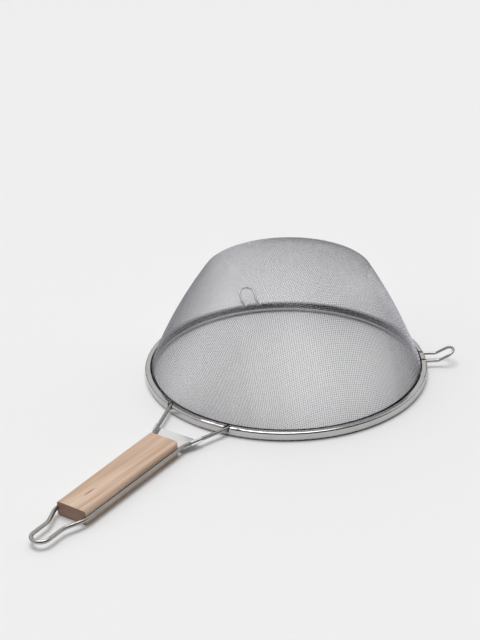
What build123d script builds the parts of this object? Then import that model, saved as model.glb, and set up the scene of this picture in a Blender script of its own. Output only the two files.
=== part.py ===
from build123d import *
import math
import os

# Double sieve strainer, standing mouth down on its rim. Units are millimetres.
# The origin is the centre of the mouth, on the surface that the rim stands on.
# +Z points from the mouth to the crown of the bowl, and the handle runs along -Y.

# Rolled rim: a channel with its slot on the bowl side
RIM_RADIUS = 130.0
RIM_HEIGHT = 8.0
RIM_WIDTH = 8.0
RIM_SHEET = 0.6
RIM_EDGE_RADIUS = 1.8
SLOT_WIDTH = 2.6

# Ring of round wire inside the rim
CORE_WIRE = 3.0
CORE_RADIUS = 127.3
CORE_HEIGHT = 3.0

# Bowl: a wall that leans in more towards its top, a crisp shoulder and a shallow crown
BOWL_RADIUS = 124.4
WALL_RADIUS = 468.0
WALL_FOOT_LEAN = 21.8
WALL_TOP_LEAN = 34.6
SHOULDER_RADIUS = 3.0
CROWN_RADIUS = 200.0
MESH_FOOT = 1.4
COARSE_MESH = 0.9
FINE_MESH = 0.6
MESH_GAP = 0.15

# Handle wire: two arms, two rails beside the grip and a hanging loop
HANDLE_WIRE = 3.4
RAIL_START_X = 16.1
RAIL_START = -170.5
RAIL_END_X = 14.6
RAIL_END = -295.5
ARM_LEAN = 19.0
LOOP_X = 7.7
LOOP_START = -311.0
LOOP_END = -335.0
ARM_BEND = 18.0
LOOP_BEND = 18.0

# The handle isn't quite radial: its line passes beside the bowl's axis
HANDLE_ASIDE = -10.5
HANDLE_TURN = 2.4

# Wooden grip, a little wider at the bowl's end, where one corner is sanded round
GRIP_FRONT_WIDTH = 30.8
GRIP_BACK_WIDTH = 28.4
GRIP_LENGTH = 120.0
GRIP_HEIGHT = 12.5
GRIP_FRONT = -173.0
GRIP_EDGE = 2.0
LEFT_CORNER = 1.0
RIGHT_CORNER = 6.0
GROOVE_RADIUS = 1.8

# Sheet-metal brace between the arms
PLATE_SHEET = 0.9
PLATE_FRONT = -153.5
PLATE_BACK = -171.5
EAR_LENGTH = 11.0
EAR_CLEARANCE = 0.05

# Two wire hooks that rest on the far side of a bucket or bowl
HOOK_WIRE = 2.6
LEFT_HOOK_ANGLE = -49.5
RIGHT_HOOK_ANGLE = 51.7
HOOK_SPREAD = 15.0
HOOK_ROOT = 125.9
HOOK_KNEE = 141.0
HOOK_TIP = 155.8
HOOK_RISE = 7.8
HOOK_BEND = 6.0

# Notches cut in the rim for the arms and the hook legs
ARM_NOTCH = 5.2
HOOK_NOTCH = 4.2
NOTCH_LENGTH = 12.0
NOTCH_START = 1.2
NOTCH_FLOOR = 4.2

# The wires lie on the core wire, so their heights follow from it
CORE_TOP = CORE_HEIGHT + CORE_WIRE / 2
HANDLE_Z = CORE_TOP + HANDLE_WIRE / 2
HOOK_Z = CORE_TOP + HOOK_WIRE / 2

hook_angles = {"rest_hook_left": LEFT_HOOK_ANGLE, "rest_hook_right": RIGHT_HOOK_ANGLE}
handle_frame = Plane((HANDLE_ASIDE, 0, 0)).rotated((0, 0, HANDLE_TURN))
arm_lean = math.radians(ARM_LEAN)

os.makedirs("parts", exist_ok=True)


def slope(lean):
    """Outward direction, in the meridian, of a wall that leans in by this many degrees."""
    return Vector(math.cos(math.radians(lean)), math.sin(math.radians(lean)))


def bowl_points(inset):
    """Corner and tangent points of the bowl's meridian, moved inwards by inset."""
    wall_centre = Vector(BOWL_RADIUS, RIM_HEIGHT) - slope(WALL_FOOT_LEAN) * WALL_RADIUS
    wall_end = wall_centre + slope(WALL_TOP_LEAN) * (WALL_RADIUS - inset)
    shoulder_centre = wall_end - slope(WALL_TOP_LEAN) * (SHOULDER_RADIUS - inset)
    reach = CROWN_RADIUS - SHOULDER_RADIUS
    crown_centre = Vector(0, shoulder_centre.Y - math.sqrt(reach**2 - shoulder_centre.X**2))
    outward = (shoulder_centre - crown_centre).normalized()
    skirt = BOWL_RADIUS - inset
    waist_lean = math.degrees(math.acos((skirt - wall_centre.X) / (WALL_RADIUS - inset)))
    foot = Vector(skirt, MESH_FOOT)
    waist = wall_centre + slope(waist_lean) * (WALL_RADIUS - inset)
    shoulder_end = crown_centre + outward * (CROWN_RADIUS - inset)
    crown = crown_centre + Vector(0, CROWN_RADIUS - inset)
    return foot, waist, waist_lean, wall_end, shoulder_end, crown


def draw_meridian(inset):
    """Skirt, wall, shoulder and crown of the bowl at one depth of the mesh."""
    foot, waist, waist_lean, wall_end, shoulder_end, crown = bowl_points(inset)
    Line(foot, waist)
    wall = TangentArc(waist, wall_end, tangent=slope(waist_lean + 90))
    shoulder = TangentArc(wall_end, shoulder_end, tangent=wall % 1)
    TangentArc(shoulder_end, crown, tangent=shoulder % 1)


def arm_root(side):
    """Where the arm on one side of the handle reaches the core wire, in the handle's frame."""
    bend = Vector(side * RAIL_START_X, RAIL_START)
    direction = Vector(side * math.sin(arm_lean), math.cos(arm_lean))
    to_centre = handle_frame.to_local_coords(Vector(0, 0, 0)) - bend
    half_chord = to_centre.dot(direction)
    inside = math.sqrt(CORE_RADIUS**2 - to_centre.length**2 + half_chord**2)
    root = bend + direction * (half_chord - inside)
    return root.X, root.Y


# Where each wire starts inside the rim: its root, the turn from -Y to its way out, and a width
notches = []
for side in (-1, 1):
    root = handle_frame.from_local_coords((*arm_root(side), 0))
    notches.append((root.X, root.Y, HANDLE_TURN - side * ARM_LEAN, ARM_NOTCH))
for hook_angle in hook_angles.values():
    hook_frame = Plane.XY.rotated((0, 0, -hook_angle))
    for leg in (-1, 1):
        root = hook_frame.from_local_coords((leg * HOOK_SPREAD / 2, HOOK_ROOT, 0))
        notches.append((root.X, root.Y, 180 - hook_angle, HOOK_NOTCH))

# Rolled steel channel round the mouth. The mesh leaves it through the slot in its upper side.
with BuildPart() as rim_band:
    with BuildSketch(Plane.XZ):
        with Locations((RIM_RADIUS - RIM_WIDTH / 2, RIM_HEIGHT / 2)):
            RectangleRounded(RIM_WIDTH, RIM_HEIGHT, RIM_EDGE_RADIUS)
            RectangleRounded(
                RIM_WIDTH - 2 * RIM_SHEET,
                RIM_HEIGHT - 2 * RIM_SHEET,
                RIM_EDGE_RADIUS - RIM_SHEET,
                mode=Mode.SUBTRACT,
            )
        slot_centre = RIM_RADIUS - RIM_WIDTH + RIM_SHEET + SLOT_WIDTH / 2
        with Locations((slot_centre, RIM_HEIGHT)):
            Rectangle(SLOT_WIDTH, 6 * RIM_SHEET, mode=Mode.SUBTRACT)
    revolve(axis=Axis.Z)
    for root_x, root_y, turn, width in notches:
        with BuildSketch(Plane((root_x, root_y, NOTCH_FLOOR)).rotated((0, 0, turn))):
            with Locations((0, NOTCH_START)):
                Rectangle(width, NOTCH_LENGTH, align=(Align.CENTER, Align.MAX))
        extrude(amount=RIM_HEIGHT, mode=Mode.SUBTRACT)
rim_band.part.label = "rim_band"
export_step(rim_band.part, "parts/rim_band.step")

# Ring that stiffens the rim and carries the handle and the hooks
with BuildPart() as rim_core_wire:
    with BuildSketch(Plane.XZ):
        with Locations((CORE_RADIUS, CORE_HEIGHT)):
            Circle(CORE_WIRE / 2)
    revolve(axis=Axis.Z)
rim_core_wire.part.label = "rim_core_wire"
export_step(rim_core_wire.part, "parts/rim_core_wire.step")

# The two mesh bowls are closed shells as thick as their woven wire, one nested in the other
mesh_layers = {
    "outer_mesh_bowl": (0, COARSE_MESH),
    "inner_mesh_bowl": (COARSE_MESH + MESH_GAP, COARSE_MESH + MESH_GAP + FINE_MESH),
}
for layer_name, (outside, inside) in mesh_layers.items():
    with BuildPart() as mesh_bowl:
        with BuildSketch(Plane.XZ):
            with BuildLine():
                draw_meridian(outside)
                draw_meridian(inside)
                Line(bowl_points(outside)[0], bowl_points(inside)[0])
                Line(bowl_points(outside)[-1], bowl_points(inside)[-1])
            make_face()
        revolve(axis=Axis.Z)
    mesh_bowl.part.label = layer_name
    export_step(mesh_bowl.part, f"parts/{layer_name}.step")

# One length of round wire: arm, rail, hanging loop, rail, arm
half_route = [
    (RAIL_START_X, RAIL_START),
    (RAIL_END_X, RAIL_END),
    (LOOP_X, LOOP_START),
    (LOOP_X, LOOP_END),
]
half_bends = [ARM_BEND, LOOP_BEND, LOOP_BEND, LOOP_X - 0.05]
with BuildPart() as handle_wire:
    with BuildLine(Plane.XY.offset(HANDLE_Z)) as handle_route:
        other_half = [(-x, y) for x, y in reversed(half_route)]
        route = [arm_root(1), *half_route, *other_half, arm_root(-1)]
        FilletPolyline(*route, radius=half_bends + half_bends[::-1])
    with BuildSketch(Plane(handle_route.line @ 0, z_dir=handle_route.line % 0)):
        Circle(HANDLE_WIRE / 2)
    sweep(path=handle_route.line)
handle_wire.part.label = "handle_wire"
export_step(handle_wire.part.moved(handle_frame.location), "parts/handle_wire.step")

# Solid wood bar, grooved along both sides for the rails
with BuildPart() as handle_grip:
    with BuildSketch() as grip_outline:
        with BuildLine():
            grip_back = GRIP_FRONT - GRIP_LENGTH
            front_side = [(side * GRIP_FRONT_WIDTH / 2, GRIP_FRONT) for side in (-1, 1)]
            back_side = [(side * GRIP_BACK_WIDTH / 2, grip_back) for side in (1, -1)]
            Polyline(*front_side, *back_side, close=True)
        make_face()
        fillet(grip_outline.vertices().group_by(Axis.Y)[-1].sort_by(Axis.X)[-1], RIGHT_CORNER)
        fillet(grip_outline.vertices().sort_by(Axis.X)[0], LEFT_CORNER)
    extrude(amount=GRIP_HEIGHT)
    top_and_bottom = handle_grip.faces().filter_by(Axis.Z)
    back_edges = handle_grip.faces().sort_by(Axis.Y)[0].edges()
    fillet(top_and_bottom.edges() - back_edges, GRIP_EDGE)
    for side in (-1, 1):
        rail_way = (side * (RAIL_END_X - RAIL_START_X), RAIL_END - RAIL_START, 0)
        with BuildSketch(Plane((side * RAIL_START_X, RAIL_START, HANDLE_Z), z_dir=rail_way)):
            Circle(GROOVE_RADIUS)
        extrude(amount=RAIL_START - RAIL_END, mode=Mode.SUBTRACT)
handle_grip.part.label = "handle_grip"
export_step(handle_grip.part.moved(handle_frame.location), "parts/handle_grip.step")

# Flat brace under the arms, with an ear curled up round the outside of each arm
ear_inside = HANDLE_WIRE / 2 + EAR_CLEARANCE
ear_outside = ear_inside + PLATE_SHEET
front_x = RAIL_START_X + (PLATE_FRONT - RAIL_START) * math.tan(arm_lean)
with BuildPart() as bridge_plate:
    with BuildSketch(Plane.XY.offset(HANDLE_Z - ear_outside)):
        with BuildLine():
            side_edge = [(front_x, PLATE_FRONT), (RAIL_START_X, RAIL_START), (RAIL_START_X, PLATE_BACK)]
            Polyline((0, PLATE_FRONT), *side_edge, (0, PLATE_BACK), close=True)
        make_face()
    extrude(amount=PLATE_SHEET)
    ear_way = Vector(-math.sin(arm_lean), -math.cos(arm_lean))
    ear_plane = Plane((front_x, PLATE_FRONT, HANDLE_Z), x_dir=(-ear_way.Y, ear_way.X, 0), z_dir=ear_way)
    with BuildSketch(ear_plane):
        Circle(ear_outside)
        Circle(ear_inside, mode=Mode.SUBTRACT)
        Rectangle(ear_outside, 2 * ear_outside, align=(Align.MAX, Align.CENTER), mode=Mode.SUBTRACT)
    extrude(amount=EAR_LENGTH)
    mirror(about=Plane.YZ)
bridge_plate.part.label = "bridge_plate"
export_step(bridge_plate.part.moved(handle_frame.location), "parts/bridge_plate.step")

# Wire hooks: two legs, a knee and a round end that lifts away from the mouth
for hook_name, hook_angle in hook_angles.items():
    hook_plane = Plane.XY.offset(HOOK_Z).rotated((0, 0, -hook_angle))
    leg_x = HOOK_SPREAD / 2
    half_hook = [(leg_x, HOOK_ROOT, 0), (leg_x, HOOK_KNEE, 0), (leg_x, HOOK_TIP, HOOK_RISE)]
    other_half = [(-x, y, z) for x, y, z in reversed(half_hook)]
    hook_bends = [HOOK_BEND, leg_x - 0.05, leg_x - 0.05, HOOK_BEND]
    with BuildPart() as rest_hook:
        with BuildLine(hook_plane) as hook_route:
            FilletPolyline(*half_hook, *other_half, radius=hook_bends)
        with BuildSketch(Plane(hook_route.line @ 0, z_dir=hook_route.line % 0)):
            Circle(HOOK_WIRE / 2)
        sweep(path=hook_route.line)
    rest_hook.part.label = hook_name
    export_step(rest_hook.part, f"parts/{hook_name}.step")
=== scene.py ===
import math

import bpy
import numpy as np
from mathutils import Matrix, Vector


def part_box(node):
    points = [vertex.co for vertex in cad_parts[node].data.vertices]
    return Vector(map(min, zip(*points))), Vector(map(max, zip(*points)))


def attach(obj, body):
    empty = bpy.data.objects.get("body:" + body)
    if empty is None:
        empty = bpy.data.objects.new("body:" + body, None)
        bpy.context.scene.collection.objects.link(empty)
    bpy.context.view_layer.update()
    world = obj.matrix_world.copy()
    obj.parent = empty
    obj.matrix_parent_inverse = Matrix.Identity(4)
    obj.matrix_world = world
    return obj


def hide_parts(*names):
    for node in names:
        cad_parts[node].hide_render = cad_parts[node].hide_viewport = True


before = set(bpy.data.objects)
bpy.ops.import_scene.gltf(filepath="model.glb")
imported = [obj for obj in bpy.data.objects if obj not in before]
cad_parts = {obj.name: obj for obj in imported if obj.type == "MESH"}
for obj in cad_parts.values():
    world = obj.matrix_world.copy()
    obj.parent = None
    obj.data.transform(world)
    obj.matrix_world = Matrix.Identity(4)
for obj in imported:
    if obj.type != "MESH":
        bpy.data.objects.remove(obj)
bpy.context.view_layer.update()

# Camera: a long lens in front of the handle and to its right, looking down at the bowl, which
# stands on its mouth. It is rolled a little, as a camera on a copy stand often is.
MM = 0.001
VIEW_TURN = math.radians(36.54)
VIEW_TILT = math.radians(26.05)
VIEW_ROLL = math.radians(-1.37)
VIEW_DISTANCE = 1186.5 * MM
AIM_RIGHT, AIM_UP = -41.3 * MM, 45.8 * MM
LENS = 71.85
FARTHEST_SEEN = 50

turned = Matrix.Rotation(VIEW_TURN, 3, "Z") @ Matrix.Rotation(math.pi / 2 - VIEW_TILT, 3, "X")
rolled = turned @ Matrix.Rotation(VIEW_ROLL, 3, "Z")
standpoint = turned @ Vector((AIM_RIGHT, AIM_UP, VIEW_DISTANCE))
camera_data = bpy.data.cameras.new("studio_camera")
camera_data.lens = LENS
camera_data.clip_end = FARTHEST_SEEN
camera = bpy.data.objects.new("studio_camera", camera_data)
camera.matrix_world = Matrix.Translation(standpoint) @ rolled.to_4x4()
bpy.context.scene.collection.objects.link(camera)
bpy.context.scene.camera = camera

# Studio: a pale seamless floor in a white room, lit by one wide soft lamp almost overhead. The
# room is dark round its horizon and on one side, because bright metal needs something dark to
# reflect before its edges show.
FLOOR_SIZE = 14.0
FLOOR_COLOUR = (0.93, 0.93, 0.93, 1)
FLOOR_ROUGHNESS, FLOOR_SHINE = 0.9, 0.2
SOFTBOX_SPREAD = math.radians(40)
SOFTBOX_PLACE = Vector((-0.35, 0.25, 1.9))
SOFTBOX_POWER = 1.5
ROOM_STRENGTH = 0.78
WHITE_WALL = (1.0, 1.0, 1.0, 1)
DARK_BAND = (0.06, 0.06, 0.065, 1)
CEILING = (0.55, 0.55, 0.55, 1)
BAND_TOP, WALL_START, WALL_END, ZENITH = 0.55, 0.66, 0.80, 1.0
DARK_TURN = VIEW_TURN + math.radians(20)
DARK_SIDE = (0.05, 0.05, 0.055, 1)
DARK_START, DARK_SLOPE, DARK_RISE = 0.1, 0.2, 3.0


class Value:
    """A number that changes over a surface, for use in ordinary expressions."""

    def __init__(self, finish, socket):
        self.finish, self.socket = finish, socket

    def math(self, operation, *terms):
        return self.finish.node("ShaderNodeMath", {"operation": operation}, terms)

    def __add__(self, other):
        return self.math("ADD", self, other)

    def __sub__(self, other):
        return self.math("SUBTRACT", self, other)

    def __rsub__(self, other):
        return self.math("SUBTRACT", other, self)

    def __mul__(self, other):
        return self.math("MULTIPLY", self, other)

    def __truediv__(self, other):
        return self.math("DIVIDE", self, other)

    def __pow__(self, other):
        return self.math("POWER", self, other)

    def __lt__(self, other):
        return self.math("LESS_THAN", self, other)

    def __gt__(self, other):
        return self.math("GREATER_THAN", self, other)

    __radd__, __rmul__ = __add__, __mul__

    def clamped(self):
        """The same number, kept between 0 and 1 by the Math node that makes it."""
        self.socket.node.use_clamp = True
        return self


class Finish:
    """The node tree of one material, or of the room round the object."""

    def __init__(self, owner):
        owner.use_nodes = True
        self.owner, self.tree = owner, owner.node_tree
        self.tree.nodes.clear()

    def node(self, kind, settings=None, sockets=(), output=0):
        """One output of a new node. Sockets come in their order, or keyed by name or number."""
        made = self.tree.nodes.new(kind)
        for setting, value in (settings or {}).items():
            if setting == "stops":
                ramp = made.color_ramp.elements
                while len(ramp) < len(value):
                    ramp.new(1)
                for element, (place, colour) in zip(ramp, value):
                    element.position, element.color = place, colour
            else:
                setattr(made, setting, value)
        keyed = sockets if isinstance(sockets, dict) else dict(enumerate(sockets))
        for key, value in keyed.items():
            if isinstance(value, Value):
                self.tree.links.new(value.socket, made.inputs[key])
            else:
                made.inputs[key].default_value = value
        return Value(self, made.outputs[output]) if made.outputs else None

    def mix(self, share, first, second):
        """The first colour, turning to the second as share goes from 0 to 1."""
        colours = {0: share, 6: first, 7: second}
        return self.node("ShaderNodeMix", {"data_type": "RGBA"}, colours, 2)

    def stretched(self, vector, stretch):
        """A place on the surface with each of its axes stretched."""
        return self.node("ShaderNodeVectorMath", {"operation": "MULTIPLY"}, (vector, stretch))

    def noise(self, vector, scale=1.0, **details):
        """Soft random patches, from 0 to 1."""
        return self.node("ShaderNodeTexNoise", {}, {"Vector": vector, "Scale": scale, **details})

    def bump(self, height, strength, depth):
        sockets = {"Height": height, "Strength": strength, "Distance": depth}
        return self.node("ShaderNodeBump", {}, sockets)

    def surface(self, colour, roughness, **others):
        """Finishes the material with one shader."""
        sockets = {"Base Color": colour, "Roughness": roughness}
        sockets.update({name.replace("_", " "): value for name, value in others.items()})
        shader = self.node("ShaderNodeBsdfPrincipled", {}, sockets)
        self.node("ShaderNodeOutputMaterial", {}, {"Surface": shader})

    def put_on(self, *names):
        """Gives this material to pieces that stay as the CAD made them."""
        for name in names:
            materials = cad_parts[name].data.materials
            materials.clear()
            materials.append(self.owner)


bpy.context.scene.view_settings.view_transform = "Standard"
floor_mesh = bpy.data.meshes.new("studio_floor")
half_floor = FLOOR_SIZE / 2
turns = ((-1, -1), (1, -1), (1, 1), (-1, 1))
corners = [(x * half_floor, y * half_floor, 0) for x, y in turns]
floor_mesh.from_pydata(corners, [], [(0, 1, 2, 3)])
floor = bpy.data.objects.new("studio_floor", floor_mesh)
bpy.context.scene.collection.objects.link(floor)
paper = Finish(bpy.data.materials.new("floor_paper"))
paper.surface(FLOOR_COLOUR, FLOOR_ROUGHNESS, Specular_IOR_Level=FLOOR_SHINE)
floor_mesh.materials.append(paper.owner)

softbox_data = bpy.data.lights.new("softbox", "SUN")
softbox_data.angle = SOFTBOX_SPREAD
softbox_data.energy = SOFTBOX_POWER
softbox = bpy.data.objects.new("softbox", softbox_data)
softbox.rotation_euler = SOFTBOX_PLACE.to_track_quat("Z", "Y").to_euler()
bpy.context.scene.collection.objects.link(softbox)

bpy.context.scene.world = bpy.data.worlds.new("studio_room")
room = Finish(bpy.context.scene.world)
direction = room.node("ShaderNodeTexCoord", output="Generated")
up = room.node("ShaderNodeSeparateXYZ", {}, (direction,), "Z")
stops = [
    (BAND_TOP, DARK_BAND),
    (WALL_START, WHITE_WALL),
    (WALL_END, WHITE_WALL),
    (ZENITH, CEILING),
]
walls = room.node("ShaderNodeValToRGB", {"stops": stops}, (up * 0.5 + 0.5,))
to_dark = (math.sin(DARK_TURN), -math.cos(DARK_TURN), 0)
facing_dark = room.node(
    "ShaderNodeVectorMath", {"operation": "DOT_PRODUCT"}, (direction, to_dark), "Value"
)
dark = ((facing_dark - up * DARK_SLOPE - DARK_START) * DARK_RISE).clamped()
light = room.node("ShaderNodeBackground", {}, (room.mix(dark, walls, DARK_SIDE), ROOM_STRENGTH))
room.node("ShaderNodeOutputWorld", {}, {"Surface": light})

# Rim: a strip of stainless steel rolled into a channel round the mouth. The rolls leave fine
# lines along it and handling leaves it uneven in polish. The inner fold, where the cloth goes
# in, is rougher, and its colour is painted shade: near-black for the shadow in the slot.
RIM_COLOUR = (0.60, 0.59, 0.58, 1)
RIM_DULL = (0.47, 0.46, 0.455, 1)
RIM_ROUGHNESS, RIM_SMUDGES = 0.08, 0.12
RIM_SMUDGE_SCALE = 60.0
# Painted shade: the near-black colour of the shadowed slot in the inner fold.
FOLD_PAINTED_SHADE = (0.07, 0.068, 0.068, 1)
FOLD_ROUGHNESS = 0.3
FOLD_RADIUS = 125.4 * MM
FOLD_START = 4.0 * MM
ROLL_LINES = 2600
LINE_STRENGTH, LINE_DEPTH = 0.5, 0.004 * MM

rim = Finish(bpy.data.materials.new("rolled_steel"))
place = rim.node("ShaderNodeTexCoord", output="Object")
x, y, z = [rim.node("ShaderNodeSeparateXYZ", {}, (place,), axis) for axis in "XYZ"]
from_axis = (x * x + y * y) ** 0.5
roll_sockets = (from_axis * ROLL_LINES, 0.0, z * ROLL_LINES)
lines = rim.noise(rim.node("ShaderNodeCombineXYZ", {}, roll_sockets), Detail=2.0)
smudges = rim.noise(place, RIM_SMUDGE_SCALE, Detail=3.0)
# Painted shade: inside the fold the colour turns near-black, and the steel is rougher there.
shaded_fold = (from_axis < FOLD_RADIUS) * (z > FOLD_START)
rim.surface(
    rim.mix(shaded_fold, rim.mix(smudges, RIM_COLOUR, RIM_DULL), FOLD_PAINTED_SHADE),
    RIM_ROUGHNESS + smudges * RIM_SMUDGES + shaded_fold * FOLD_ROUGHNESS,
    Metallic=1.0,
    Normal=rim.bump(lines, LINE_STRENGTH, LINE_DEPTH),
)
rim.put_on("rim_band")

# Wires: bright drawn stainless wire, the same for the ring hidden in the rim, for the handle
# and for the two hooks. Drawing leaves faint marks and a satin polish.
WIRE_COLOUR = (0.52, 0.51, 0.49, 1)
WIRE_DULL = (0.36, 0.352, 0.335, 1)
WIRE_ROUGHNESS, WIRE_SMUDGES = 0.14, 0.16
WIRE_SMUDGE_SCALE = 45.0
DRAW_MARK_SCALE = 900.0
DRAW_MARK_STRENGTH, DRAW_MARK_DEPTH = 0.4, 0.006 * MM

drawn = Finish(bpy.data.materials.new("drawn_wire"))
place = drawn.node("ShaderNodeTexCoord", output="Object")
marks = drawn.noise(place, DRAW_MARK_SCALE, Detail=3.0)
smudges = drawn.noise(place, WIRE_SMUDGE_SCALE, Detail=3.0)
drawn.surface(
    drawn.mix(smudges, WIRE_COLOUR, WIRE_DULL),
    WIRE_ROUGHNESS + smudges * WIRE_SMUDGES,
    Metallic=1.0,
    Normal=drawn.bump(marks, DRAW_MARK_STRENGTH, DRAW_MARK_DEPTH),
)
drawn.put_on("rim_core_wire", "handle_wire", "rest_hook_left", "rest_hook_right")

# Outer bowl: plain-woven stainless wire cloth, pressed over a former. Its wires keep their
# length, so the square cells lean over into diamonds on the two diagonals of the cloth. The
# press leaves the crown a little to one side.
WALL_RADIUS = 468 * MM
WALL_FOOT = math.radians(90 - 21.8)
WALL_TOP = math.radians(90 - 34.6)
SHOULDER_RADIUS = 3.0 * MM
CROWN_RADIUS = 200.0 * MM
CROWN_SHIFT = Vector((2.1, 2.6)) * MM
CLOTH_TURN = math.radians(-35.7)
CLOTH_SPARE = 1.08
SETTLING_STEPS = 6
COARSE_PITCH = 1.85 * MM
COARSE_WIRE = 0.22 * MM
COARSE_INSET = 0.45 * MM
COARSE_SIDES, COARSE_PARTS = 4, 3
COARSE_COLOUR = (0.50, 0.49, 0.53, 1)
COARSE_ROUGHNESS = 0.22
BEND_START = 0.25
WEAVE_LIFT = 0.47
TINY = 1e-12

bowl_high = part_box("outer_mesh_bowl")[1]
rim_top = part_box("rim_band")[1].z


def off_axis(turn):
    """A direction in the bowl's section, turned down from straight up."""
    return Vector((math.sin(turn), math.cos(turn)))


wall_centre = Vector((bowl_high.x, rim_top)) - WALL_RADIUS * off_axis(WALL_FOOT)
shoulder_centre = wall_centre + (WALL_RADIUS - SHOULDER_RADIUS) * off_axis(WALL_TOP)
crown_to_shoulder = CROWN_RADIUS - SHOULDER_RADIUS
crown_turn = math.asin(shoulder_centre.x / crown_to_shoulder)
crown_centre = shoulder_centre - crown_to_shoulder * off_axis(crown_turn)
bowl_arcs = [
    (crown_centre, CROWN_RADIUS, 0.0, crown_turn),
    (shoulder_centre, SHOULDER_RADIUS, crown_turn, WALL_TOP),
    (wall_centre, WALL_RADIUS, WALL_TOP, WALL_FOOT),
]
bowl_run = sum(radius * (end - start) for _, radius, start, end in bowl_arcs) + rim_top


def on_bowl(run, inset):
    """Radius, height and lean of the cloth, at a run along it from the crown's centre."""
    radius, height, lean = np.zeros((3, *run.shape))
    for centre, outside, start, end in bowl_arcs:
        bend = outside - inset
        here = run >= 0
        turned = np.minimum(start + run / bend, end)
        lean = np.where(here, turned, lean)
        radius = np.where(here, centre.x + bend * np.sin(turned), radius)
        height = np.where(here, centre.y + bend * np.cos(turned), height)
        run = run - bend * (end - start)
    return radius, height - np.maximum(run, 0), np.where(run > 0, math.pi / 2, lean)


def drape(pitch, inset):
    """Crossings of one quarter of the cloth on the bowl. Each is one pitch from two others."""
    count = int(CLOTH_SPARE * bowl_run / pitch)
    run, turn = np.zeros((2, count + 1, count + 1))
    run[:, 0] = run[0, :] = np.arange(count + 1) * pitch
    turn[0, 1:] = math.pi / 2

    def spot(run, turn):
        radius, height, lean = on_bowl(run, inset)
        x, y = np.cos(turn), np.sin(turn)
        along = np.stack([np.cos(lean) * x, np.cos(lean) * y, -np.sin(lean)])
        around = np.stack([-radius * y, radius * x, 0 * turn])
        return np.stack([radius * x, radius * y, height]), along, around

    for total in range(2, 2 * count + 1):
        i = np.arange(max(1, total - count), min(count, total - 1) + 1)
        j = total - i
        flat = run * np.exp(1j * turn)
        guess = flat[i - 1, j] + flat[i, j - 1] - flat[i - 1, j - 1]
        new_run, new_turn = np.abs(guess), np.angle(guess)
        before = (i - 1, j), (i, j - 1)
        neighbours = [spot(run[crossing], turn[crossing])[0] for crossing in before]
        for _ in range(SETTLING_STEPS):
            point, along, around = spot(new_run, new_turn)
            miss = [(np.sum((point - end) ** 2, 0) - pitch**2) / 2 for end in neighbours]
            a, b = [np.sum((point - end) * along, 0) for end in neighbours]
            c, d = [np.sum((point - end) * around, 0) for end in neighbours]
            spread = a * d - b * c
            new_run = new_run - (miss[0] * d - miss[1] * c) / spread
            new_turn = new_turn - (a * miss[1] - b * miss[0]) / spread
        run[i, j], turn[i, j] = new_run, new_turn
    return run, turn


def weave(pitch, inset, foot):
    """For each direction of wires: crossings, normals, which are on the bowl, over or under."""
    run, turn = drape(pitch, inset)
    count = len(run) - 1
    number = np.arange(-count, count + 1)
    i, j = np.meshgrid(number, number, indexing="ij")
    quarter = abs(i), abs(j)
    radius, height, lean = [values[quarter][..., None] for values in on_bowl(run, inset)]
    x = np.cos(turn)[quarter] * np.where(i < 0, -1, 1)
    y = np.sin(turn)[quarter] * np.where(j < 0, -1, 1)
    cos_turn, sin_turn = math.cos(CLOTH_TURN), math.sin(CLOTH_TURN)
    outward = np.stack([x * cos_turn - y * sin_turn, x * sin_turn + y * cos_turn], -1)
    points = np.concatenate([outward * radius, height], -1)
    points[..., :2] += np.array(CROWN_SHIFT) * (points[..., 2:] / bowl_high.z) ** 2
    normals = np.concatenate([outward * np.sin(lean), np.cos(lean)], -1)
    kept = height[..., 0] > foot
    over = np.where((i + j) % 2, 1, -1)
    crosswise = points.transpose(1, 0, 2), normals.transpose(1, 0, 2), kept.T, -over.T
    return [(points, normals, kept, over), crosswise]


def unit(vectors):
    return vectors / (np.linalg.norm(vectors, axis=-1, keepdims=True) + TINY)


def wire_meshes(name, points, normals, kept, over, wire, sides, parts):
    """Tube meshes of one direction's wires, two rings of corners to a crossing, in parts."""
    before = points + BEND_START * (np.roll(points, 1, 0) - points)
    after = points + BEND_START * (np.roll(points, -1, 0) - points)
    lift = normals * over[..., None] * wire * WEAVE_LIFT
    line = np.stack([before + lift, after + lift], 1).reshape(-1, points.shape[1], 3)
    kept = np.repeat(kept, 2, 0)
    kept[0] = kept[-1] = False
    ahead = np.roll(line, -1, 0) - np.roll(line, 1, 0)
    side = unit(np.cross(ahead, np.repeat(normals, 2, 0)))
    normal = unit(np.cross(side, ahead))
    share = np.cumsum(kept.sum(0)) / kept.sum()
    angles = ((np.arange(sides) + 0.5) * 2 * math.pi / sides)[:, None]
    made = []
    for part in range(parts):
        mine = kept & ((share > part / parts) & (share <= (part + 1) / parts))[None, :]
        index = np.cumsum(mine.ravel()).reshape(mine.shape) - 1
        ring = normal[mine][:, None] * np.cos(angles) + side[mine][:, None] * np.sin(angles)
        corners = (line[mine][:, None] + ring * wire / 2).reshape(-1, 3)
        joined = mine[:-1] & mine[1:]
        low, high = index[:-1][joined] * sides, index[1:][joined] * sides
        faces = []
        for k in range(sides):
            beside = (k + 1) % sides
            faces += np.stack([low + k, low + beside, high + beside, high + k], -1).tolist()
        for order in (1, -1):
            ends = mine & ~np.roll(mine, order, 0)
            faces += (index[ends][:, None] * sides + np.arange(sides)[::order]).tolist()
        mesh = bpy.data.meshes.new(f"{name}_{part + 1}")
        mesh.from_pydata(corners.tolist(), [], faces)
        mesh.shade_smooth()
        piece = bpy.data.objects.new(mesh.name, mesh)
        bpy.context.scene.collection.objects.link(piece)
        made.append(piece)
    return made


def wire_cloth(node, names, pitch, inset, wire, sides, parts, colour, roughness):
    """The woven wires that stand for one CAD bowl."""
    cloth = Finish(bpy.data.materials.new(f"{node}_wire"))
    cloth.surface(colour, roughness, Metallic=1.0)
    for name, direction in zip(names, weave(pitch, inset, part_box(node)[0].z)):
        for piece in wire_meshes(name, *direction, wire, sides, parts):
            piece.data.materials.append(cloth.owner)
            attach(piece, "root")
            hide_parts(node)


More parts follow.
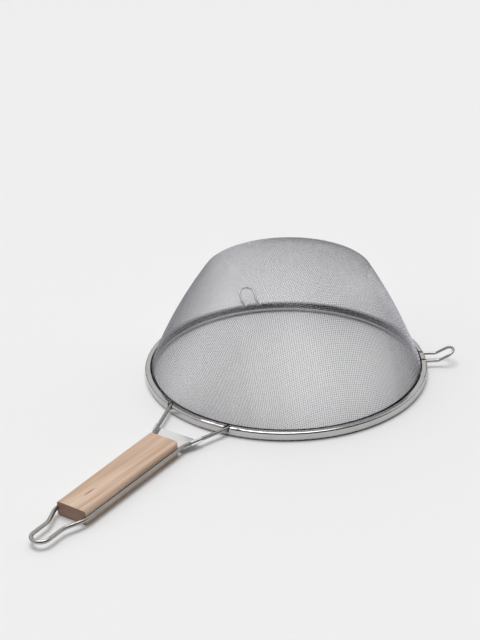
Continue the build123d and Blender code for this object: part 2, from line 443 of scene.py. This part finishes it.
wire_cloth(
    "outer_mesh_bowl", ("outer_mesh_warp", "outer_mesh_weft"),
    COARSE_PITCH, COARSE_INSET, COARSE_WIRE, COARSE_SIDES, COARSE_PARTS,
    COARSE_COLOUR, COARSE_ROUGHNESS,
)

# Inner bowl: a second, finer cloth of the same stainless wire, pressed to the same shape and
# nested in the outer bowl. The rolled rim holds both edges together.
FINE_PITCH = 1.1 * MM
FINE_WIRE = 0.05 * MM
FINE_INSET = 1.35 * MM
FINE_SIDES, FINE_PARTS = 3, 5
FINE_COLOUR = (0.66, 0.65, 0.69, 1)
FINE_ROUGHNESS = 0.3

wire_cloth(
    "inner_mesh_bowl", ("inner_mesh_warp", "inner_mesh_weft"),
    FINE_PITCH, FINE_INSET, FINE_WIRE, FINE_SIDES, FINE_PARTS,
    FINE_COLOUR, FINE_ROUGHNESS,
)

# Grip: one bar of bare light beech, sawn and sanded, with a groove along each side that the
# rails of the handle wire spring into. Its ends show darker grain, and one short dark streak
# runs in its top near the hanging loop.
WOOD_LIGHT = (0.80, 0.61, 0.475, 1)
WOOD_PINK = (0.77, 0.535, 0.425, 1)
WOOD_DARK = (0.50, 0.33, 0.21, 1)
END_GRAIN = (0.34, 0.21, 0.155, 1)
END_FACING = 0.5
PATCH_STRETCH, PATCH_CONTRAST, PATCH_START = (90, 30, 90), 2.4, 0.7
GRAIN_STRETCH, GRAIN_CONTRAST, GRAIN_START = (260, 9, 420), 3.2, 1.25
PORE_STRETCH, PORE_DARKNESS = (2400, 60, 2400), 0.35
PORE_STRENGTH, PORE_DEPTH = 0.4, 0.08 * MM
WOOD_ROUGHNESS, GRAIN_ROUGHNESS = 0.55, 0.2
STREAK_X, STREAK_Y = 0.05 * MM, -270.0 * MM
STREAK_HALF_WIDTH, STREAK_HALF_LENGTH = 0.8 * MM, 7.0 * MM
STREAK_EDGE = 2.0

wood = Finish(bpy.data.materials.new("bare_beech"))
place = wood.node("ShaderNodeTexCoord", output="Object")
grain = wood.noise(wood.stretched(place, GRAIN_STRETCH), Detail=5.0, Distortion=0.4)
pores = wood.noise(wood.stretched(place, PORE_STRETCH), Detail=3.0)
patches = wood.noise(wood.stretched(place, PATCH_STRETCH), Detail=2.0)
colour = wood.mix(patches * PATCH_CONTRAST - PATCH_START, WOOD_LIGHT, WOOD_PINK)
colour = wood.mix(grain * GRAIN_CONTRAST - GRAIN_START, colour, WOOD_DARK)
colour = wood.mix(pores * PORE_DARKNESS, colour, WOOD_DARK)
across, along = [wood.node("ShaderNodeSeparateXYZ", {}, (place,), axis) for axis in "XY"]
streak_miss = ((across - STREAK_X) / STREAK_HALF_WIDTH) ** 2
streak_miss += ((along - STREAK_Y) / STREAK_HALF_LENGTH) ** 2
streak = ((1.0 - streak_miss) * STREAK_EDGE).clamped()
colour = wood.mix(streak, colour, END_GRAIN)
facing = wood.node("ShaderNodeNewGeometry", output="Normal")
lengthwise = wood.node("ShaderNodeSeparateXYZ", {}, (facing,), "Y")
colour = wood.mix(lengthwise * lengthwise > END_FACING, colour, END_GRAIN)
wood.surface(
    colour,
    WOOD_ROUGHNESS + grain * GRAIN_ROUGHNESS,
    Normal=wood.bump(pores, PORE_STRENGTH, PORE_DEPTH),
)
wood.put_on("handle_grip")

# Brace: a piece of bright sheet steel between the arms of the handle wire, just ahead of the
# grip. An ear at each end is curled round the arm, which keeps the two arms apart.
SHEET_COLOUR = (0.90, 0.90, 0.89, 1)
SHEET_ROUGHNESS, BRUSH_ROUGHNESS = 0.14, 0.12
BRUSH_STRETCH = (120, 2600, 120)
BRUSH_STRENGTH, BRUSH_DEPTH = 0.3, 0.004 * MM

sheet = Finish(bpy.data.materials.new("sheet_steel"))
place = sheet.node("ShaderNodeTexCoord", output="Object")
brush = sheet.noise(sheet.stretched(place, BRUSH_STRETCH), Detail=3.0)
sheet.surface(
    SHEET_COLOUR,
    SHEET_ROUGHNESS + brush * BRUSH_ROUGHNESS,
    Metallic=1.0,
    Normal=sheet.bump(brush, BRUSH_STRENGTH, BRUSH_DEPTH),
)
sheet.put_on("bridge_plate")
